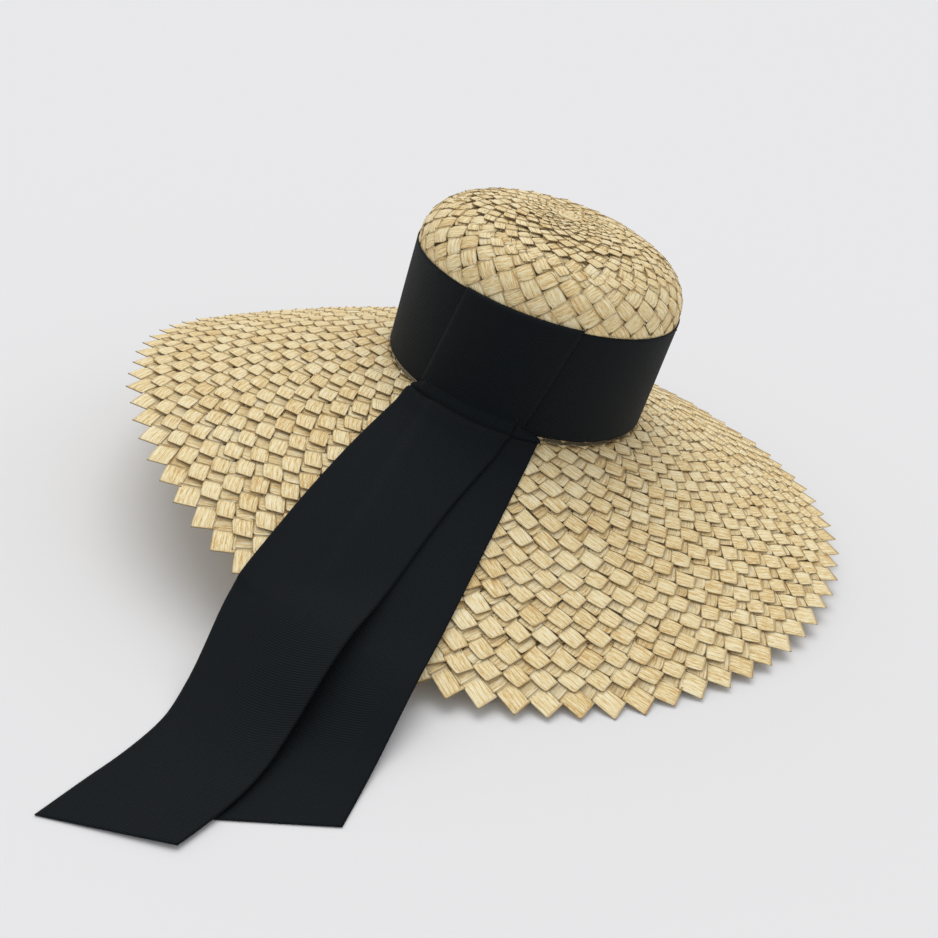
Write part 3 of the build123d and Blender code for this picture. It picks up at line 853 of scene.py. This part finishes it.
@dataclass
class BandAndWrap:
    """The wide band round the crown, and the upright ribbon wrapped over it where the tails start."""

    width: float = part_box("hat_band")[1].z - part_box("hat_band")[0].z
    bottom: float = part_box("hat_band")[0].z
    cloth: float = 0.7 * MM
    layer: float = 0.8 * MM
    wrap_bottom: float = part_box("band_front_wrap")[0].z
    wrap_centre: float = 0.3 * MM
    wrap_lean: float = 10.5

    def build(self, finishes: Finishes) -> None:
        """The band is a closed loop; the wrap is a ribbon folded over the band's upper edge."""
        top = self.bottom + self.width
        rows, columns = 360, 25
        angle = np.linspace(0, 2 * pi, rows, endpoint=False)[:, None] + np.zeros((1, columns))
        share = np.linspace(0, 1, columns)[None] + np.zeros((rows, 1))
        ripple = 0.10 * MM * np.sin(7 * angle + 4 * share) * np.sin(pi * share)
        radius = SHAPE.oval(angle, -self.layer / 2) + ripple
        height = self.bottom + self.width * share + 0.25 * MM * np.sin(3 * angle + 1.0)
        middle = polar(angle, radius, height)
        band = make_object("hat_band_ribbon", cloth_slab(middle, self.cloth, loop=True), finishes.ribbon)
        dress(band, Slot.RIBBON, "hat_band")
        wrap = make_object("band_wrap_ribbon", cloth_slab(self.wrap_middle(top), self.cloth), finishes.ribbon)
        dress(wrap, Slot.RIBBON, "band_front_wrap")

    def wrap_middle(self, top: float) -> Array:
        """The wrap: a profile (offset from the oval, height) carried across the ribbon's width.

        The ribbon leans, so each row moves sideways by its height times the tangent of the lean. It lies
        close to the band along its two sides and stands a little off it in the middle.
        """
        off = [(0.0, 0.3), (1.5, 1.0), (3.0, 2.6), (5.0, 3.1), (9.0, 3.0), (30.0, 2.8), (60.0, 2.8),
               (76.0, 3.0), (79.0, 2.9), (81.5, 2.2)]
        rise = [(0.0, 1.0), (1.5, 1.2), (3.0, 0.6), (5.0, -1.3), (9.0, -5.3), (30.0, -26.2), (60.0, -56.2),
                (76.0, -72.2), (79.0, -74.4), (81.5, -73.9)]
        rows, columns = 60, 33
        along = np.linspace(0, 81.5, rows)[:, None] + np.zeros((1, columns))
        across = np.linspace(-1, 1, columns)[None] + np.zeros((rows, 1))
        height = top + through(rise, along) * MM
        shift = (np.maximum(height, self.wrap_bottom) - self.wrap_bottom) * tan(radians(self.wrap_lean))
        x = self.wrap_centre + across * self.width / 2 + shift
        belly = 0.5 * MM * (1 - across**4) * np.sin(pi * np.clip(along / 81.5, 0, 1))
        offset = through(off, along) * MM + belly - 0.5 * MM * np.abs(across) ** 6
        a, b = SHAPE.half_length + offset, SHAPE.half_width + offset
        return np.stack([x, -b * np.sqrt(1 - (x / a) ** 2), height], -1)


@dataclass
class RibbonTail:
    """A tail: out from under the wrap, down the band, out over the brim, off its edge and down."""

    name: str
    nodes: Tuple[str, ...]
    body: Body
    left_x: Points                  # (distance along -Y, place along X) of each edge, in millimetres
    right_x: Points
    left_z: Points                  # (distance along -Y, height) of each edge
    right_z: Points
    left_end: float
    right_end: float
    root_offset: float              # how far off the band's oval it comes out
    straw_gap: float                # over the brim's own surface
    flat: Tuple[float, float]
    rests_on: Tuple[str, ...]
    cloth: float = 0.7 * MM
    root_height: float = 17.0 * MM
    roll: float = 3.6 * MM          # height of the soft roll where it turns out over the brim
    roll_reach: float = 8.0 * MM    # from the crease at the band to the roll
    roll_width: float = 6.0 * MM
    crease_reach: float = 4.6 * MM  # from the band's oval to the crease
    ply_gap: float = 1.6 * MM       # room for the tail that it lies on
    tuck_gap: float = 2.2 * MM      # how far it keeps under the tail that lies on it
    floor_gap: float = 0.8 * MM
    free_from: float = 0.262        # where it starts to sag clear of the tail over it
    root_sides: Tuple[float, float] = (-0.0365, 0.0375)     # the root, which does not show, is narrowed to these
    floor: Callable[[Array, Array], Array] = staticmethod(lambda x, y: np.full_like(x, -1.0))

    def edges(self, distance: Array) -> Tuple[Array, Array, Array, Array]:
        """x and z of the left and right edges at a distance in metres, in metres."""
        at = distance / MM
        return (through(self.left_x, at) * MM, through(self.right_x, at) * MM,
                through(self.left_z, at) * MM, through(self.right_z, at) * MM)

    def height(self, x: Array, distance: Array) -> Array:
        """Height of the straight line from edge to edge, at a place along X."""
        left, right, low, high = self.edges(distance)
        return low + (high - low) * (x - left) / (right - left)

    def middle(self, under: Optional["RibbonTail"] = None, over: Optional["RibbonTail"] = None) -> Array:
        """The tail's middle face.

        Rows go from the top of the root, down the band to the crease, and out. Past the crease each point
        is on the line from edge to edge, and never lower than the brim, the tail under it or the floor.

        Args:
            under: the tail that this one lies on.
            over: the tail that lies on this one.

        Returns:
            Points (rows, columns, 3).
        """
        columns, rows = 41, 190
        across = np.linspace(-1, 1, columns)[None]
        left, right, _, _ = self.edges(np.array(0.1))
        x0 = left + (right - left) * (across + 1) / 2
        share = (np.linspace(0, 1, rows) ** 1.15)[:, None]
        foot = SHAPE.half_width * np.sqrt(1 - (x0 / SHAPE.half_length) ** 2) + self.root_offset
        foot = foot + self.crease_reach
        end = self.left_end + (self.right_end - self.left_end) * (across + 1) / 2
        distance = foot + (end - foot) * share
        left, right, low, high = self.edges(distance)
        x = left + (right - left) * (across + 1) / 2
        z = low + (high - low) * (across + 1) / 2
        rest = SHAPE.over_brim(x, -distance) + self.straw_gap
        if under is not None:
            u_left, u_right, _, _ = under.edges(distance)
            covers = smooth_step((x - u_left + 4 * MM) / (9 * MM))
            covers = covers * smooth_step((u_right - x + 4 * MM) / (9 * MM))
            rest = rest + covers * self.ply_gap
        z = smooth_max(z, rest, 2.5 * MM)
        z = smooth_max(z, self.floor(x, -distance) + self.floor_gap, 1.5 * MM)
        z = z + self.roll * np.exp(-((distance - foot - self.roll_reach) / self.roll_width) ** 2)
        if over is not None:
            cover = over.height(x, distance) - self.tuck_gap
            o_left, o_right, _, _ = over.edges(distance)
            inside = smooth_step((o_right - x + 12 * MM) / (12 * MM))
            inside = inside * smooth_step((x - o_left + 12 * MM) / (12 * MM))
            past = smooth_step((distance - self.free_from) / (20 * MM))
            z = z - np.maximum(0.0, z - cover) * inside * past
        out = np.stack([x, -distance, z], -1)
        steps = 12
        down = np.linspace(1, 0, steps, endpoint=False)[:, None] ** 1.3
        crease = z[:1]
        root_z = crease + 0.6 * MM + (self.root_height - crease) * down
        off = self.root_offset + 4.2 * MM * (1 - smooth_step(down / 0.75))
        root_y = -((SHAPE.half_width + off) * np.sqrt(1 - (x0 / (SHAPE.half_length + off)) ** 2))
        tucked = x0 + (np.clip(x0, *self.root_sides) - x0) * smooth_step(down / 0.5)
        root = np.stack([tucked, root_y, root_z], -1)
        return np.concatenate([root, out])

    def build(self, finishes: Finishes, middle: Array) -> bpy.types.Object:
        piece = make_object(self.name, cloth_slab(middle, self.cloth), finishes.ribbon)
        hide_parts(*self.nodes)
        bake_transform(piece)
        log.info("%s: %d faces", piece.name, len(piece.data.polygons))
        return piece


@dataclass
class Tails:
    """Both ribbon tails."""

    floor: Callable[[Array, Array], Array]

    def build(self, finishes: Finishes) -> None:
        """The lower tail lies on the straw, and the upper one on it."""
        upper = RibbonTail(
            name="upper_tail_ribbon", nodes=("tail_root_upper", "tail_upper"), body=Body.UPPER_TAIL,
            left_x=[(80, -45), (110, -46.5), (160, -49.5), (230, -50.5), (280, -48.5), (320, -40), (348, -36),
                    (378, -37.5), (400, -41), (435, -46)],
            right_x=[(80, 36), (110, 34), (160, 29.5), (230, 28.5), (290, 29.5), (324, 30.5), (353, 32),
                     (373, 31), (395, 27), (435, 17.5)],
            left_z=[(80, -3), (150, -24), (250, -60), (275, -70), (300, -90), (322, -104), (342, -111.5),
                    (365, -114), (400, -115.5), (435, -116.5)],
            right_z=[(80, -6), (150, -24), (220, -51), (245, -56), (280, -60), (305, -73), (324, -86),
                     (353, -96), (373, -98.5), (395, -101), (435, -103)],
            left_end=0.4295, right_end=0.412, root_offset=2.1 * MM, straw_gap=2.9 * MM,
            flat=(0.080, 0.380), rests_on=("lower_tail_ribbon", "brim_outer_rounds"), floor=self.floor)
        lower = RibbonTail(
            name="lower_tail_ribbon", nodes=("tail_root_lower", "tail_lower"), body=Body.LOWER_TAIL,
            left_x=[(80, -28.3), (400, 7.4)], right_x=[(80, 51.7), (400, 87.4)],
            left_z=[(80, -3), (150, -26), (250, -64), (282, -74), (305, -90), (325, -101), (345, -105.5),
                    (400, -107.5)],
            right_z=[(80, -6), (150, -30), (240, -64), (272, -69), (292, -77), (315, -87.5), (335, -92),
                     (361, -94.5), (400, -95)],
            left_end=0.399, right_end=0.361, root_offset=1.2 * MM, straw_gap=2.2 * MM,
            flat=(0.080, 0.310), rests_on=("brim_outer_rounds", "brim_inner_rounds"), floor=self.floor)
        lower.build(finishes, lower.middle(over=upper))
        upper.build(finishes, upper.middle(under=lower))


@dataclass
class Sweatband:
    """The ribbon inside the head opening, its lapped join at the back, and its stitches."""

    bottom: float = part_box("sweatband")[0].z
    width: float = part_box("sweatband")[1].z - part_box("sweatband")[0].z
    straw: float = 3.0 * MM
    cloth: float = 0.8 * MM
    join_width: float = 20.0 * MM
    stitch_count: int = 96
    stitch_length: float = 3.6 * MM
    thread: float = 0.6 * MM

    def build(self, finishes: Finishes) -> None:
        """The loop, the lap and the stitches."""
        rows, columns = 300, 13
        angle = np.linspace(0, 2 * pi, rows, endpoint=False)[:, None] + np.zeros((1, columns))
        share = np.linspace(0, 1, columns)[None] + np.zeros((rows, 1))
        wave = 0.25 * MM * np.sin(9 * angle) * share**2
        inset = self.straw + 0.5 * MM + wave + 0.3 * MM * np.sin(pi * share)
        radius = SHAPE.oval(angle) - inset
        middle = polar(angle, radius, self.bottom + self.width * share)
        loop = make_object("sweatband_ribbon", cloth_slab(middle, self.cloth, loop=True), finishes.sweatband)
        dress(loop, Slot.SWEATBAND, "sweatband")
        half = self.join_width / 2 / SHAPE.half_length
        angle = np.linspace(pi - half, pi + half, 24)[:, None] + np.zeros((1, columns))
        share = np.linspace(0, 1, columns)[None] + np.zeros((24, 1))
        radius = SHAPE.oval(angle) - self.straw - 1.55 * MM
        middle = polar(angle, radius, self.bottom + self.width * share)
        lap = make_object("sweatband_lap", cloth_slab(middle, self.cloth), finishes.sweatband)
        dress(lap, Slot.SWEATBAND, "sweatband_join")
        angle = np.linspace(0, 2 * pi, self.stitch_count, endpoint=False)
        half = self.stitch_length / 2 / SHAPE.mean_radius
        inward = -np.stack([np.cos(angle), np.sin(angle), 0.0 * angle], -1)

        def at(turn: Array) -> Array:
            """Where the thread is, just inside the band's lower edge."""
            radius = SHAPE.oval(turn) - self.straw - 1.0 * MM
            return np.stack([radius * np.cos(turn), radius * np.sin(turn),
                             np.full_like(turn, self.bottom + 2.0 * MM)], -1)

        seam = stitches(at(angle - half), at(angle + half), inward, self.thread)
        dress(make_object("sweatband_seam", seam, finishes.dark_thread), Slot.DARK_THREAD,
              "sweatband_stitches")


@dataclass
class Sewing:
    """The straw's seams, and the tacks that hold band and wrap."""

    plait_pitch: float = 12.4 * MM
    seams: int = 12
    stitch: float = 4.0 * MM
    space: float = 3.0 * MM
    thread: float = 0.6 * MM
    tacks: int = 6
    tack_margin: float = 12.0 * MM  # from the wrap's upper corners to the nearest tack
    crown_seams: int = 4
    crown_seam_first: float = 38.0 * MM     # height of the lowest seam inside the wall
    crown_seam_pitch: float = 12.0 * MM
    half_ribbon: float = 40.0 * MM
    wrap_tack_inset: float = 5.0 * MM       # from the wrap's edge to its tack
    wrap_tack_height: float = 12.5 * MM

    def build(self, finishes: Finishes) -> None:
        """Running stitches under the brim and inside the crown, and tacks on the band."""
        brim, wall = BrimSurface(), WallSurface()
        parts = []
        for k in range(1, self.seams + 1):
            run = brim.length - k * self.plait_pitch - 3.0 * MM
            parts.append(self.running(brim, run, SHAPE.mean_radius + run, -2.9 * MM))
        dress(make_object("brim_seam_stitches", MeshData.joined(parts), finishes.straw_thread),
              Slot.STRAW_THREAD, "brim_thread")
        heights = [self.crown_seam_first + self.crown_seam_pitch * k for k in range(self.crown_seams)]
        parts = [self.running(wall, SHAPE.side_height - height, SHAPE.mean_radius, -1.5 * MM)
                 for height in heights]
        dress(make_object("crown_seam_stitches", MeshData.joined(parts), finishes.straw_thread),
              Slot.STRAW_THREAD, "crown_thread")
        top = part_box("hat_band")[1].z
        corner = acos((self.half_ribbon + self.tack_margin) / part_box("hat_band")[1].y)
        angles = np.linspace(-corner, pi + corner, self.tacks)
        dress(make_object("band_tack_stitches", self.tack(angles, -0.9 * MM, top - 2.0 * MM),
                          finishes.dark_thread), Slot.DARK_THREAD, "band_tacks")
        side = atan((self.half_ribbon - self.wrap_tack_inset) / SHAPE.half_width)
        angles = np.array([-pi / 2 - side, -pi / 2 + side])
        dress(make_object("wrap_tack_stitches", self.tack(angles, -3.5 * MM, self.wrap_tack_height),
                          finishes.dark_thread), Slot.DARK_THREAD, "wrap_tacks")

    def running(self, surface: StrawSurface, run: float, radius: float, lift: float) -> MeshData:
        """A line of running stitches at one run, on the inner side of the straw."""
        count = int(2 * pi * radius / (self.stitch + self.space))
        angle = np.linspace(0, 2 * pi, count, endpoint=False)
        half = self.stitch / 2 / radius
        lifts = np.full(count, lift)
        runs = np.full(count, run)
        start = surface.place(angle - half, runs, lifts)
        end = surface.place(angle + half, runs, lifts)
        below = surface.place(angle, runs, lifts - MM)
        return stitches(start, end, unit(below - (start + end) / 2), self.thread)

    def tack(self, angle: Array, inset: float, height: float) -> MeshData:
        """Short upright stitches on the band's face."""
        radius = SHAPE.oval(angle, inset)
        foot = polar(angle, radius, np.full_like(angle, height))
        out = np.stack([np.cos(angle), np.sin(angle), 0.0 * angle], -1)
        rise = np.array([0.0, 0.0, 1.5 * MM])
        return stitches(foot - rise / 2, foot + rise / 2, out, self.thread)


# ---- studio ---------------------------------------------------------------------------------------------


@dataclass
class Studio:
    """Floor, lights, sky and camera. The hat leans as it lies, so in its own frame the floor is tilted."""

    floor_height: float = -0.0956
    floor_slope: Tuple[float, float] = (0.15, 0.034)
    floor_size: float = 40.0
    azimuth: float = 15.0
    elevation: float = 29.81
    roll: float = 18.57
    distance: float = 0.8492
    aim: Tuple[float, float, float] = (-0.0102, 0.0, -0.0896)
    lens: float = 41.05
    paper: StudioPaper = StudioPaper()

    def floor_at(self, x: Array, y: Array) -> Array:
        """Height of the floor under a point."""
        return self.floor_height + self.floor_slope[0] * x + self.floor_slope[1] * y

    def build_floor(self) -> None:
        """A wide sheet of paper in the floor's plane."""
        side = np.linspace(-self.floor_size, self.floor_size, 9)
        y, x = np.meshgrid(side, side, indexing="ij")
        points = np.stack([x, y, self.floor_at(x, y)], -1).reshape(-1, 3)
        data = MeshData(points, grid_faces(9, 9), points[:, :2] / MM)
        floor = make_object("studio_floor", data, self.paper.make())

    def build_camera(self) -> None:
        """A camera turned about the crown, tipped down and rolled."""
        turn = Matrix.Rotation(radians(self.azimuth), 4, "Z")
        target = turn @ Vector(self.aim)
        tip = Matrix.Rotation(radians(90 - self.elevation), 4, "X")
        pose = Matrix.Translation(target) @ turn @ tip @ Matrix.Translation((0, 0, self.distance))
        data = bpy.data.cameras.new("studio_camera")
        data.lens = self.lens
        data.sensor_width = 36.0
        camera = bpy.data.objects.new("studio_camera", data)
        camera.matrix_world = pose @ Matrix.Rotation(radians(self.roll), 4, "Z")
        bpy.context.scene.collection.objects.link(camera)
        bpy.context.scene.camera = camera

    def add_sun(self, name: str, source: Vector, strength: float, spread: float, colour: str) -> None:
        """Soft daylight from one side: a sun as wide as a window, given in degrees."""
        data = bpy.data.lights.new(name, "SUN")
        data.angle = radians(spread)
        data.energy = strength
        data.color = linear(colour)[:3]
        light = bpy.data.objects.new(name, data)
        light.location = source
        light.rotation_mode = "QUATERNION"
        light.rotation_quaternion = (-source).to_track_quat("-Z", "Y")
        bpy.context.scene.collection.objects.link(light)

    def build_light(self) -> None:
        """A pale sky and soft daylight."""
        world = bpy.data.worlds.new("studio_sky")
        world.use_nodes = True
        world.node_tree.nodes["Background"].inputs["Color"].default_value = linear("#F2F3F5")
        world.node_tree.nodes["Background"].inputs["Strength"].default_value = 0.75
        bpy.context.scene.world = world
        self.add_sun("window_light", Vector((-0.35, 0.25, 1.0)), 1.25, 50.0, "#FFFDF8")
        bpy.context.scene.view_settings.view_transform = "Standard"


def main() -> None:
    """Builds every sub-assembly in order, then the studio."""
    logging.basicConfig(level=logging.INFO, format="%(message)s")
    studio = Studio()
    studio.build_camera()
    finishes = Finishes(
        straw=RaffiaStraw().make(),
        ribbon=Grosgrain("black_grosgrain", "#04070A", "#12181D").make(),
        sweatband=Grosgrain("cotton_grosgrain", "#CFC2A2", "#F1E9D2", rib_mm=1.2).make(),
        straw_thread=SpunThread("straw_coloured_thread", "#E8D6A6", "#A88B55").make(),
        dark_thread=SpunThread("black_thread", "#202428", "#08090A").make(),
    )
    for assembly in (StrawBrim(), StrawCrown(), BandAndWrap(), Tails(studio.floor_at), Sweatband(), Sewing()):
        assembly.build(finishes)
    studio.build_floor()
    studio.build_light()


if __name__ == "__main__":
    main()
